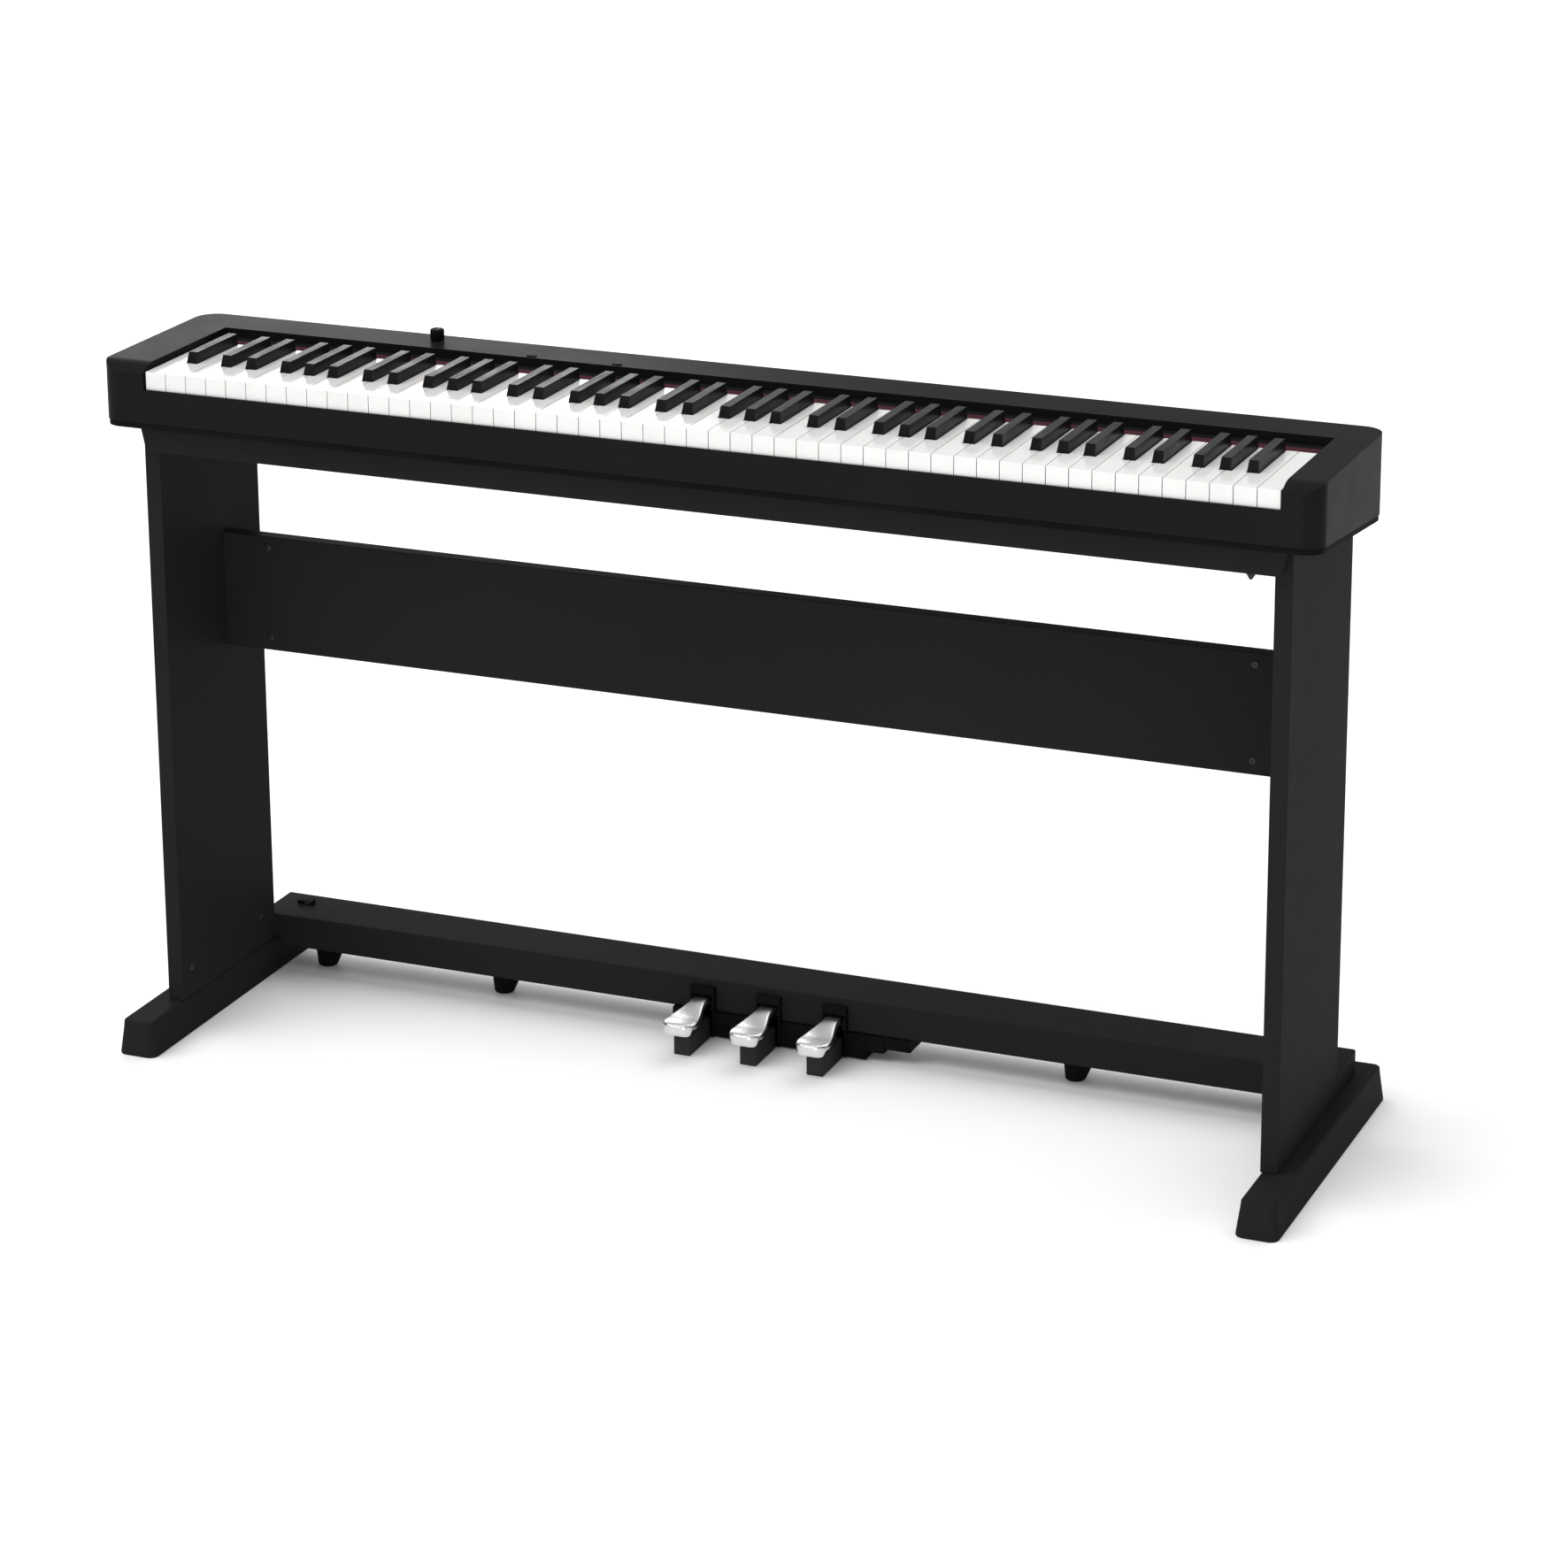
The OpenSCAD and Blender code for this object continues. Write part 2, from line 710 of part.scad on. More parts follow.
// A foot: drafted block with round corners.
module foot(side) {
    x = side * foot_x;
    y0 = -foot_front;
    y1 = foot_l - foot_front;
    hull() {
        for (dx = [-1, 1], y = [y0 + foot_r, y1 - foot_r])
            translate([x + dx * (foot_w / 2 - foot_r), y, 0]) cylinder(r = foot_r, h = 2, $fn = 32);
        for (dx = [-1, 1], y = [y0 + foot_draft + foot_top_r, y1 - foot_draft - foot_top_r])
            translate([x + dx * (foot_w / 2 - foot_draft - foot_top_r), y, foot_h - 1])
                cylinder(r = foot_top_r, h = 1, $fn = 32);
    }
}

module foot_left() {
    color(panel_k) placed() foot(-1);
}

module foot_right() {
    color(panel_k) placed() foot(1);
}

function pedal_places() = [for (i = [-1:1]) pedal_x + i * pedal_gap];

// The beam behind the side panels, slotted below for the pedals and stepped over the feet.
module cross_beam() {
    color(panel_k) placed() difference() {
        span([-stand_w / 2, panel_y1, beam_z], [stand_w / 2, beam_y1, beam_z + beam_h]);
        for (x = pedal_places())
            span([x - slot_w / 2, panel_y1 - 1, beam_z - 1],
                [x + slot_w / 2, panel_y1 + unit_d - 4, slot_top]);
        on_both_sides() span([foot_x - foot_w / 2 - 0.5, panel_y1 - 1, beam_z - 1],
            [stand_w / 2 + 1, beam_y1 + 1, foot_h]);
    }
}

// Glides under the beam, narrower and set towards the bass at the floor.
module beam_glides() {
    color("#1b1b1b") placed() for (side = [-1, 1], x = glide_x)
        translate([side * x, glide_y, 0]) hull() {
            translate([-5, 0, 0]) cylinder(r = glide_r - 9, h = 1);
            translate([-5, 0, 1]) cylinder(r = glide_r - 7, h = 3);
            translate([0, 0, beam_z - 2]) cylinder(r = glide_r, h = 2);
        }
}

// A low clip on the beam's top that holds the pedal unit's lead.
module cable_clip() {
    z = beam_z + beam_h;
    x = -panel_x + 18;
    y = panel_y1 + 42;
    color("#101010") placed() difference() {
        span([x - 9, y - 5, z], [x + 9, y + 5, z + 5]);
        span([x - 6, y - 6, z + 1.2], [x + 6, y + 6, z + 3.8]);
        span([x + 2.5, y - 6, z + 3], [x + 5, y + 6, z + 6]);
    }
}

screw_r = 4;
screw_h = 1.2;

// Heads of the screws that hold the boards together.
module stand_screws() {
    color("#4b4b4d") placed() on_both_sides() {
        for (z = [back_z + 15, back_z + back_h - 12])
            translate([-panel_x + 55, back_y, z]) rotate([90, 0, 0]) cylinder(r = screw_r, h = screw_h);
        for (y = [panel_y + 20, panel_y1 - 32])
            translate([-panel_x, y, foot_h + 33]) rotate([0, 90, 0]) cylinder(r = screw_r, h = screw_h);
        for (y = [panel_y + 50, panel_y1 - 60])
            translate([-panel_x + plate_t, y, seat_z(y) - 7]) rotate([0, 90, 0])
                cylinder(r = screw_r, h = screw_h);
    }
}

// ---- pedals -------------------------------------------------------------------------------

// Housing under the beam with a hood round each slot and a socket lug at the treble end.
module pedal_unit() {
    y0 = panel_y1 - 4;
    y1 = panel_y1 + unit_d;
    x0 = pedal_x - unit_w / 2;
    x1 = pedal_x + unit_w / 2;
    color("#151516") placed() difference() {
        union() {
            span([x0, y0, unit_z], [x1, y1, beam_z]);
            span([x1 - eps, y0 + 1, 11], [x1 + 20, y1 - 20, beam_z]);
            span([x1 + 20 - eps, y0 + 2, 16], [x1 + 50, y1 - 24, beam_z]);
            for (x = pedal_places())
                span([x - hood_w / 2, y0 - 3, unit_z], [x + hood_w / 2, panel_y1, hood_top]);
        }
        for (x = pedal_places())
            span([x - slot_w / 2, y0 - 4, unit_z + 3], [x + slot_w / 2, y1 - 4, slot_top]);
        translate([x0 + 8, axle_y, axle_z]) rotate([0, 90, 0]) cylinder(r = axle_r, h = unit_w - 16);
    }
}

module pedal_stops() {
    color("#0f0f0f") placed() for (x = pedal_places())
        span([x - stop_w / 2, pedal_y0 + 18, 0], [x + stop_w / 2, panel_y1 - 7, stop_top]);
}

module pedal_axle() {
    color("silver") placed() translate([pedal_x - unit_w / 2 + 8, axle_y, axle_z]) rotate([0, 90, 0])
        cylinder(r = axle_r, h = unit_w - 16);
}

// A pedal seen from above: a broad tip with round corners that narrows to the stem.
module pedal_plan(x) {
    half = pedal_w / 2;
    stem = stem_w / 2;
    flare_y = panel_y1 - 14;
    hull() {
        for (dx = [-1, 1]) translate([x + dx * (half - tip_r), pedal_y0 + tip_r]) circle(tip_r);
        translate([x - stem, flare_y]) square([2 * stem, 1]);
    }
    translate([x - stem, flare_y]) square([2 * stem, axle_y + 8 - flare_y]);
}

// A pedal: lipped tip, rising stem, and a heel that turns on the axle.
module pedal(x) {
    stem_z = pedal_z + pedal_fall;
    difference() {
        union() {
            intersection() {
                linear_extrude(stem_z + pedal_t) pedal_plan(x);
                profile(x - pedal_w, x + pedal_w, [
                    [pedal_y0, pedal_z - lip_drop], [pedal_y0 + 3, pedal_z - lip_drop],
                    [pedal_y0 + 6, pedal_z], [panel_y1, stem_z], [axle_y + 8, stem_z],
                    [axle_y + 8, stem_z + pedal_t], [panel_y1, stem_z + pedal_t],
                    [pedal_y0 + 8, pedal_z + pedal_t], [pedal_y0 + 2, pedal_z + pedal_t - 3],
                    [pedal_y0, pedal_z + pedal_t - 8]
                ]);
            }
            span([x - heel_w / 2, axle_y - 10, axle_z - 8],
                [x + heel_w / 2, axle_y + 8, stem_z + eps]);
        }
        translate([x - heel_w, axle_y, axle_z]) rotate([0, 90, 0])
            cylinder(r = axle_r + fit, h = 2 * heel_w);
    }
}

module pedal_left() {
    color("silver") placed() pedal(pedal_places()[0]);
}

module pedal_centre() {
    color("silver") placed() pedal(pedal_places()[1]);
}

module pedal_right() {
    color("silver") placed() pedal(pedal_places()[2]);
}

upper_case();
case_back();
lower_case();
key_chassis();
key_shaft();
key_felt();
key_stop_felt();
sensor_board();
control_board();
main_board();
speaker_left();
speaker_right();
jack_block();
case_feet();
power_button();
function_button();
volume_knob();
white_keys_1();
white_keys_2();
white_keys_3();
white_keys_5();
white_keys_6();
white_keys_7();
black_keys_1();
black_keys_2();
black_keys_3();
black_keys_5();
black_keys_6();
black_keys_7();
key_c4();
key_c_sharp4();
key_d4();
key_d_sharp4();
key_e4();
key_f4();
key_f_sharp4();
key_g4();
key_g_sharp4();
key_a4();
key_a_sharp4();
key_b4();
side_panel_left();
side_panel_right();
back_panel();
front_rail();
rail_hook();
bracket_left();
bracket_right();
foot_left();
foot_right();
cross_beam();
beam_glides();
cable_clip();
stand_screws();
pedal_unit();
pedal_stops();
pedal_axle();
pedal_left();
pedal_centre();
pedal_right();
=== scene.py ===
from math import cos, pi, radians, sin, sqrt, tau

import bmesh
import bpy
from mathutils import Matrix, Vector


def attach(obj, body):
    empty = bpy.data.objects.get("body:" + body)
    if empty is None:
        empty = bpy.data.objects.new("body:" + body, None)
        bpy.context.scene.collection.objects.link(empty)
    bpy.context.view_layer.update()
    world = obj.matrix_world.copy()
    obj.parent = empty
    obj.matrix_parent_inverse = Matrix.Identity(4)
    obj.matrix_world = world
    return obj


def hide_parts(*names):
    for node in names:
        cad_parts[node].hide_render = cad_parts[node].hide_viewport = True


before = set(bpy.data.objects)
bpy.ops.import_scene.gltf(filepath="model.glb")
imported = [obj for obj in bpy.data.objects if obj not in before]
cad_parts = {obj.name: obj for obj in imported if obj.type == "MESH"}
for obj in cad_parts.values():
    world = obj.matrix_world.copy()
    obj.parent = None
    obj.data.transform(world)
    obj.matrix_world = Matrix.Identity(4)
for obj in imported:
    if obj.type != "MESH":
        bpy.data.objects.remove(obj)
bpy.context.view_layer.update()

MM = 0.001
BASE = "stand_and_case"


# ---- camera, floor and light --------------------------------------------------------------

CAMERA_PLACE = (1.8564, -4.3419, 1.9916)
CAMERA_YAW, CAMERA_DOWN, CAMERA_ROLL = 22.59, 16.59, -0.30   # degrees
CAMERA_LENS, CAMERA_SENSOR, CAMERA_SHIFT = 109.8, 36, -0.15
FLOOR_HALF = 30                                             # metres


def place_camera():
    data = bpy.data.cameras.new("camera")
    data.lens = CAMERA_LENS
    data.sensor_width = CAMERA_SENSOR
    data.shift_y = CAMERA_SHIFT
    camera = bpy.data.objects.new("camera", data)
    bpy.context.scene.collection.objects.link(camera)
    yaw = Matrix.Rotation(radians(CAMERA_YAW), 4, "Z")
    pitch = Matrix.Rotation(radians(90 - CAMERA_DOWN), 4, "X")
    roll = Matrix.Rotation(radians(CAMERA_ROLL), 4, "Z")
    camera.matrix_world = Matrix.Translation(CAMERA_PLACE) @ yaw @ pitch @ roll
    bpy.context.scene.camera = camera


def soft_light(name, size, power, place, aim):
    """A rectangular lamp at a place, turned towards an aim point."""
    data = bpy.data.lights.new(name, "AREA")
    data.shape = "RECTANGLE"
    data.size, data.size_y = size
    data.energy = power
    light = bpy.data.objects.new(name, data)
    bpy.context.scene.collection.objects.link(light)
    light.location = place
    light.rotation_euler = (Vector(aim) - Vector(place)).to_track_quat("-Z", "Y").to_euler()


def soft_sun(name, strength, aim, spread):
    """A sun shining along a direction, its disc spread over that many degrees."""
    data = bpy.data.lights.new(name, "SUN")
    data.energy = strength
    data.angle = radians(spread)
    light = bpy.data.objects.new(name, data)
    bpy.context.scene.collection.objects.link(light)
    light.rotation_euler = Vector(aim).to_track_quat("-Z", "Y").to_euler()


def light_the_studio():
    world = bpy.data.worlds.new("studio")
    world.use_nodes = True
    sky = world.node_tree.nodes["Background"]
    sky.inputs["Color"].default_value = (1.0, 1.0, 1.0, 1.0)
    sky.inputs["Strength"].default_value = 0.55
    bpy.context.scene.world = world
    soft_sun("overhead_light", 2.1, (0.45, 0.35, -1.0), 60)
    soft_sun("back_light", 0.8, (-0.2, -0.6, -1.0), 50)
    soft_light("front_light", (0.7, 0.7), 10, (0.55, -2.3, 0.45), (-0.6, 0.0, 0.35))
    soft_light("top_sheen", (2.8, 1.6), 36, (-3.3, 4.0, 1.95), (-0.3, 0.0, 0.76))
    bpy.context.scene.view_settings.view_transform = "Standard"


def lay_floor():
    mesh = bpy.data.meshes.new("floor")
    corners = [(x * FLOOR_HALF, y * FLOOR_HALF, 0)
               for x, y in ((-1, -1), (1, -1), (1, 1), (-1, 1))]
    mesh.from_pydata(corners, [], [(0, 1, 2, 3)])
    floor = bpy.data.objects.new("floor", mesh)
    bpy.context.scene.collection.objects.link(floor)
    material = bpy.data.materials.new("pale_floor")
    material.use_nodes = True
    shader = material.node_tree.nodes["Principled BSDF"]
    shader.inputs["Base Color"].default_value = (0.93, 0.93, 0.93, 1)
    shader.inputs["Roughness"].default_value = 0.7
    mesh.materials.append(material)


# ---- materials ----------------------------------------------------------------------------

class Finish:
    """A material on Object coordinates, built up node by node."""

    def __init__(self, name, roughness, metallic=0.0, **fixed):
        self.material = bpy.data.materials.new(name)
        self.material.use_nodes = True
        self.tree = self.material.node_tree
        self.shader = self.tree.nodes["Principled BSDF"]
        self.shader.inputs["Metallic"].default_value = metallic
        self.shader.inputs["Roughness"].default_value = roughness
        for socket, value in fixed.items():
            self.shader.inputs[socket.replace("_", " ")].default_value = value
        self.place = self.add("ShaderNodeTexCoord").outputs["Object"]
        self.height = None

    def add(self, kind, **settings):
        node = self.tree.nodes.new(kind)
        for key, value in settings.items():
            setattr(node, key, value)
        return node

    def link(self, source, target):
        self.tree.links.new(source, target)

    def noise(self, scale, detail=3.0, stretch=(1, 1, 1), roughness=0.5):
        mapping = self.add("ShaderNodeMapping")
        mapping.inputs["Scale"].default_value = stretch
        self.link(self.place, mapping.inputs["Vector"])
        noise = self.add("ShaderNodeTexNoise")
        noise.inputs["Scale"].default_value = scale
        noise.inputs["Detail"].default_value = detail
        noise.inputs["Roughness"].default_value = roughness
        self.link(mapping.outputs["Vector"], noise.inputs["Vector"])
        return noise.outputs["Fac"]

    def cells(self, scale, feature="F1"):
        cells = self.add("ShaderNodeTexVoronoi", feature=feature)
        cells.inputs["Scale"].default_value = scale
        self.link(self.place, cells.inputs["Vector"])
        return cells.outputs["Distance"]

    def spread(self, value, low, high, start=0.35, end=0.65):
        """A value from 0 to 1 stretched to the range low to high."""
        ranged = self.add("ShaderNodeMapRange")
        for socket, number in zip(("From Min", "From Max", "To Min", "To Max"),
                                  (start, end, low, high)):
            ranged.inputs[socket].default_value = number
        self.link(value, ranged.inputs["Value"])
        return ranged.outputs["Result"]

    def blend(self, value, first, second, start=0.35, end=0.65):
        """Two colours mixed by a value."""
        ramp = self.add("ShaderNodeValToRGB")
        ramp.color_ramp.elements[0].position = start
        ramp.color_ramp.elements[0].color = (*first, 1)
        ramp.color_ramp.elements[1].position = end
        ramp.color_ramp.elements[1].color = (*second, 1)
        self.link(value, ramp.inputs["Fac"])
        return ramp.outputs["Color"]

    def colour(self, value, first, second, start=0.35, end=0.65):
        self.link(self.blend(value, first, second, start, end), self.shader.inputs["Base Color"])
        return self

    def rough(self, value, low, high, start=0.35, end=0.65):
        self.link(self.spread(value, low, high, start, end), self.shader.inputs["Roughness"])
        return self

    def relief(self, value, depth, strength=1.0):
        """Adds a bump of that depth in metres on top of any bump before it."""
        bump = self.add("ShaderNodeBump")
        bump.inputs["Distance"].default_value = depth
        bump.inputs["Strength"].default_value = strength
        self.link(value, bump.inputs["Height"])
        if self.height is not None:
            self.link(self.height, bump.inputs["Normal"])
        self.height = bump.outputs["Normal"]
        self.link(self.height, self.shader.inputs["Normal"])
        return self


def moulded_plastic(name, dark, light, roughness, grain=2600, depth=0.00002):
    """Satin moulded plastic with a fine spark grain and a slightly uneven sheen."""
    finish = Finish(name, roughness, Specular_IOR_Level=0.014)
    finish.colour(finish.noise(9, 4), dark, light)
    finish.rough(finish.noise(23, 5), roughness - 0.01, roughness + 0.02)
    finish.relief(finish.cells(grain), depth, 0.5)
    return finish.material


def make_materials():
    made = {}
    made["case"] = moulded_plastic("case_satin_black", (0.0095, 0.0095, 0.0099),
                                   (0.0106, 0.0106, 0.0110), 0.36)
    made["tray"] = moulded_plastic("tray_matt_black", (0.005, 0.005, 0.005),
                                   (0.007, 0.007, 0.007), 0.6, 1400, 0.00005)
    made["moulded_black"] = moulded_plastic("moulded_black", (0.0045, 0.0045, 0.0045),
                                            (0.0065, 0.0065, 0.0065), 0.5, 1800, 0.00004)
    made["knob"] = moulded_plastic("knob_black", (0.007, 0.007, 0.008),
                                   (0.011, 0.011, 0.012), 0.42, 3000)

    board = Finish("board_foil", 0.42, Specular_IOR_Level=0.004)
    board.colour(board.noise(3, 2), (0.0150, 0.0150, 0.0154), (0.0166, 0.0165, 0.0167))
    board.rough(board.noise(60, 3), 0.41, 0.44)
    board.relief(board.noise(1400, 2), 0.000012, 0.3)
    made["board"] = board.material

    white = Finish("white_key_gloss", 0.14, Coat_Weight=0.35, Coat_Roughness=0.05,
                   Subsurface_Weight=0.08, Subsurface_Scale=0.002)
    white.colour(white.noise(12, 3), (0.725, 0.723, 0.712), (0.755, 0.752, 0.742))
    white.rough(white.noise(60, 4), 0.11, 0.18)
    white.relief(white.noise(300, 2), 0.00002, 0.15)
    made["white_key"] = white.material

    black = Finish("black_key_satin", 0.3, Specular_IOR_Level=0.12)
    black.colour(black.noise(30, 4), (0.0045, 0.0045, 0.005), (0.007, 0.007, 0.0075))
    black.rough(black.noise(120, 4, (1, 0.25, 1)), 0.28, 0.4)
    black.relief(black.noise(1500, 3, (1, 0.2, 1)), 0.00003, 0.5)
    made["black_key"] = black.material

    chrome = Finish("pedal_chrome", 0.09, 1.0)
    chrome.colour(chrome.noise(30, 3), (0.66, 0.66, 0.675), (0.70, 0.70, 0.71))
    chrome.rough(chrome.noise(90, 6, (6, 1, 1)), 0.2, 0.27)
    chrome.relief(chrome.noise(1600, 2, (4, 0.3, 1)), 0.000008, 0.3)
    made["pedal"] = chrome.material

    rubber = Finish("rubber_black", 0.72, Specular_IOR_Level=0.35)
    rubber.colour(rubber.noise(50, 5), (0.006, 0.006, 0.006), (0.010, 0.010, 0.010))
    rubber.rough(rubber.noise(30, 5), 0.62, 0.8)
    rubber.relief(rubber.noise(700, 4), 0.00006, 0.6)
    made["rubber"] = rubber.material

    # Dark maroon felt whose colour is also darkened as painted shade, standing in for the shadow
    # the control strip casts over the felt behind the keys.
    felt = Finish("felt_red", 0.95, Sheen_Weight=0.06, Sheen_Roughness=0.5,
                  Specular_IOR_Level=0.05)
    felt.colour(felt.noise(500, 6), (0.028, 0.002, 0.007), (0.055, 0.006, 0.014))
    felt.relief(felt.noise(900, 6, (1, 1, 1), 0.7), 0.0004, 0.9)
    made["felt"] = felt.material

    steel = Finish("zinc_sheet", 0.35, 1.0)
    steel.colour(steel.cells(70), (0.50, 0.50, 0.51), (0.66, 0.66, 0.67), 0.2, 0.7)
    steel.rough(steel.noise(110, 4, (0.15, 1, 1)), 0.26, 0.42)
    steel.relief(steel.noise(900, 2, (0.1, 1, 1)), 0.00002, 0.3)
    made["steel"] = steel.material

    coat = Finish("powder_coat_black", 0.45, Specular_IOR_Level=0.3)
    coat.colour(coat.noise(40, 4), (0.007, 0.007, 0.008), (0.011, 0.011, 0.011))
    coat.rough(coat.noise(60, 3), 0.38, 0.52)
    coat.relief(coat.noise(1100, 2), 0.00007, 0.5)
    made["black_metal"] = coat.material

    laminate = Finish("circuit_green", 0.4, Coat_Weight=0.4)
    tracks = laminate.cells(260, feature="DISTANCE_TO_EDGE")
    laminate.colour(tracks, (0.10, 0.22, 0.08), (0.008, 0.07, 0.03), 0.02, 0.05)
    laminate.rough(laminate.noise(80, 3), 0.3, 0.45)
    laminate.relief(tracks, 0.00003, 0.4)
    made["circuit"] = laminate.material

    cone = Finish("paper_cone", 0.85)
    cone.colour(cone.noise(400, 5), (0.018, 0.018, 0.018), (0.04, 0.04, 0.038))
    cone.relief(cone.noise(700, 5, (1, 1, 1), 0.65), 0.0002, 0.6)
    cone.rough(cone.noise(200, 3), 0.75, 0.95)
    made["cone"] = cone.material

    mark = Finish("pale_print", 0.5)
    mark.colour(mark.noise(300, 3), (0.46, 0.46, 0.45), (0.6, 0.6, 0.59))
    mark.rough(mark.noise(200, 3), 0.45, 0.6)
    made["print"] = mark.material

    nickel = Finish("socket_nickel", 0.25, 1.0)
    nickel.colour(nickel.noise(200, 3), (0.55, 0.54, 0.5), (0.68, 0.67, 0.63))
    nickel.rough(nickel.noise(300, 3), 0.18, 0.32)
    made["contact"] = nickel.material
    return made


# ---- making pieces ------------------------------------------------------------------------

def finished(name, mesh, material, body=BASE, stands_for=()):
    """Puts a mesh in the scene as a finished piece of the object."""
    if material is not None:
        mesh.materials.clear()
        mesh.materials.append(MATERIAL[material])
    obj = bpy.data.objects.new(name, mesh)
    bpy.context.scene.collection.objects.link(obj)
    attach(obj, body)
    if stands_for:
        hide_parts(*stands_for)
    return obj


def as_mesh(obj, name):
    """The object's mesh with its modifiers applied; the object itself goes."""
    evaluated = obj.evaluated_get(bpy.context.evaluated_depsgraph_get())
    mesh = bpy.data.meshes.new_from_object(evaluated)
    mesh.name = name
    source = obj.data
    bpy.data.objects.remove(obj)
    if isinstance(source, bpy.types.Mesh) and source.users == 0:
        bpy.data.meshes.remove(source)
    return mesh


def clean(bm):
    """Merges loose triangles and joins the flat ones into whole faces."""
    bmesh.ops.remove_doubles(bm, verts=bm.verts, dist=2e-6)
    bmesh.ops.dissolve_limit(bm, angle_limit=radians(0.4), verts=bm.verts, edges=bm.edges)


def ring_of(bm, count, point):
    """Vertices all the way round, each at point(turn) in millimetres."""
    return [bm.verts.new(Vector(point(tau * i / count)) * MM) for i in range(count)]


def band(bm, first, second):
    """A closed band of faces between two rings with as many vertices each."""
    for i, corner in enumerate(first):
        j = (i + 1) % len(first)
        bm.faces.new((corner, first[j], second[j], second[i]))


def mesh_of(bm, name):
    """The finished mesh, its faces turned outwards."""
    bmesh.ops.recalc_face_normals(bm, faces=bm.faces)
    mesh = bpy.data.meshes.new(name)
    bm.to_mesh(mesh)
    bm.free()
    return mesh


def softened(mesh, radius, steps=3):
    """A copy of a mesh with its edges rounded by their weights, and its flat faces kept flat."""
    obj = bpy.data.objects.new("softening", mesh)
    bpy.context.scene.collection.objects.link(obj)
    for face in mesh.polygons:
        face.use_smooth = True
    bevel = obj.modifiers.new("edges", "BEVEL")
    bevel.width = radius
    bevel.segments = steps
    bevel.limit_method = "WEIGHT"
    bevel.use_clamp_overlap = True
    flat = obj.modifiers.new("flat_faces", "WEIGHTED_NORMAL")
    flat.mode = "FACE_AREA"
    flat.weight = 50
    flat.keep_sharp = False
    return as_mesh(obj, mesh.name)


def weigh_edges(bm, corner, share):
    """Gives each edge sharper than the corner angle its share of the edge radius."""
    weight = bm.edges.layers.float.new("bevel_weight_edge")
    for edge in bm.edges:
        if edge.is_manifold and edge.calc_face_angle() > radians(corner):
            edge[weight] = share((edge.verts[0].co + edge.verts[1].co) / 2)


def from_cad(node, radius, steps=3, corner=32, share=lambda middle: 1.0):
    """A CAD node's shape with its doubles merged and its edges rounded."""
    bm = bmesh.new()
    bm.from_mesh(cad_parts[node].data)
    clean(bm)
    weigh_edges(bm, corner, share)
    mesh = bpy.data.meshes.new(node + "_shape")
    bm.to_mesh(mesh)
    bm.free()
    return softened(mesh, radius, steps)


def refine(node, material, radius, steps=3, body=BASE, slot=None, corner=32, **shape):
    """Stands a softened copy in for a CAD node."""
    return finished(node + "_finished", from_cad(node, radius, steps, corner, **shape),
                    material, body, [node])


def skinned(name, rings):
    """A closed smooth skin over rings of points with as many points each, in millimetres."""
    bm = bmesh.new()
    loops = [[bm.verts.new(Vector(point) * MM) for point in ring] for ring in rings]
    for lower, upper in zip(loops, loops[1:]):
        band(bm, lower, upper)
    bm.faces.new(list(reversed(loops[0])))
    bm.faces.new(loops[-1])
    for face in bm.faces:
        face.smooth = len(face.verts) == 4
    return mesh_of(bm, name)


def round_box(half_a, half_b, radius, steps=6):
    """Points round a rectangle with round corners, both halves given."""
    points = []
    for quarter, (sa, sb) in enumerate(((1, 1), (-1, 1), (-1, -1), (1, -1))):
        for i in range(steps + 1):
            turn = (quarter + i / steps) * pi / 2
            points.append((sa * (half_a - radius) + radius * cos(turn),
                           sb * (half_b - radius) + radius * sin(turn)))
    return points


MATERIAL = make_materials()
place_camera()
light_the_studio()
lay_floor()

# ---- sizes of the object, in millimetres from the floor's middle ---------------------------

FRONT = -152                          # the case's front
CASE_TOP = 759
CASE_SIDE, CASE_REAR = 650, 78        # beyond these an edge is one of the outer ones
EDGE_BAND = 9                         # how far below its top the case's upper edges reach
OPENING_LEFT, OPENING_RIGHT = -607.6, 622.6
FOOT_X, FOOT_WIDTH, FOOT_LENGTH, FOOT_HEIGHT = 627.5, 45, 392, 39
FOOT_REACH = 44                       # how far the feet stand out in front of the case
PANEL_INNER = 609                     # inner faces of the side panels, from the middle
KNOB_X, KNOB_Y, KNOB_R = -371, 59, 7.5
KNOB_TOP = 771.4
SOCKETS_X, SOCKETS_Z = -305, 696.5    # middle of the socket panel
ROUND_SOCKETS = (-46, -30, 44)        # from that middle
COLLAR_Y = 79.7
PEDALS = {"pedal_left": -83, "pedal_centre": -6, "pedal_right": 71}
PEDAL_FRONT = 8                       # y of the pedals' tips
PEDAL_LENGTH = 132
AXLE_Y, AXLE_Z, AXLE_R = 132, 20, 3.05


# ---- case ---------------------------------------------------------------------------------

def case_edge(middle):
    """Full radius on the case's outer upper edges, about a quarter of it elsewhere."""
    x, y, z = middle / MM
    front = y < FRONT + 1 and not OPENING_LEFT - 1 < x < OPENING_RIGHT + 1
    outer = abs(x) > CASE_SIDE or y > CASE_REAR or front
    return 1.0 if z > CASE_TOP - EDGE_BAND and outer else 0.27


refine("upper_case", "case", 2.4 * MM, 4, share=case_edge)
refine("case_back", "case", 0.4 * MM, 2)
refine("lower_case", "tray", 0.8 * MM, 2)
for node in ("key_felt", "key_stop_felt"):
    refine(node, "felt", 0.6 * MM, 3)
refine("key_chassis", "steel", 0.3 * MM, 1)
refine("key_shaft", "steel", 0.3 * MM, 2)
for node in ("sensor_board", "control_board", "main_board"):
    refine(node, "circuit", 0.2 * MM, 1)
for node in ("speaker_left", "speaker_right"):
    refine(node, "cone", 0.5 * MM, 2, slot="speaker")
refine("jack_block", "moulded_black", 0.4 * MM, 2, slot="black_plastic")
refine("case_feet", "rubber", 0.3 * MM, 2)


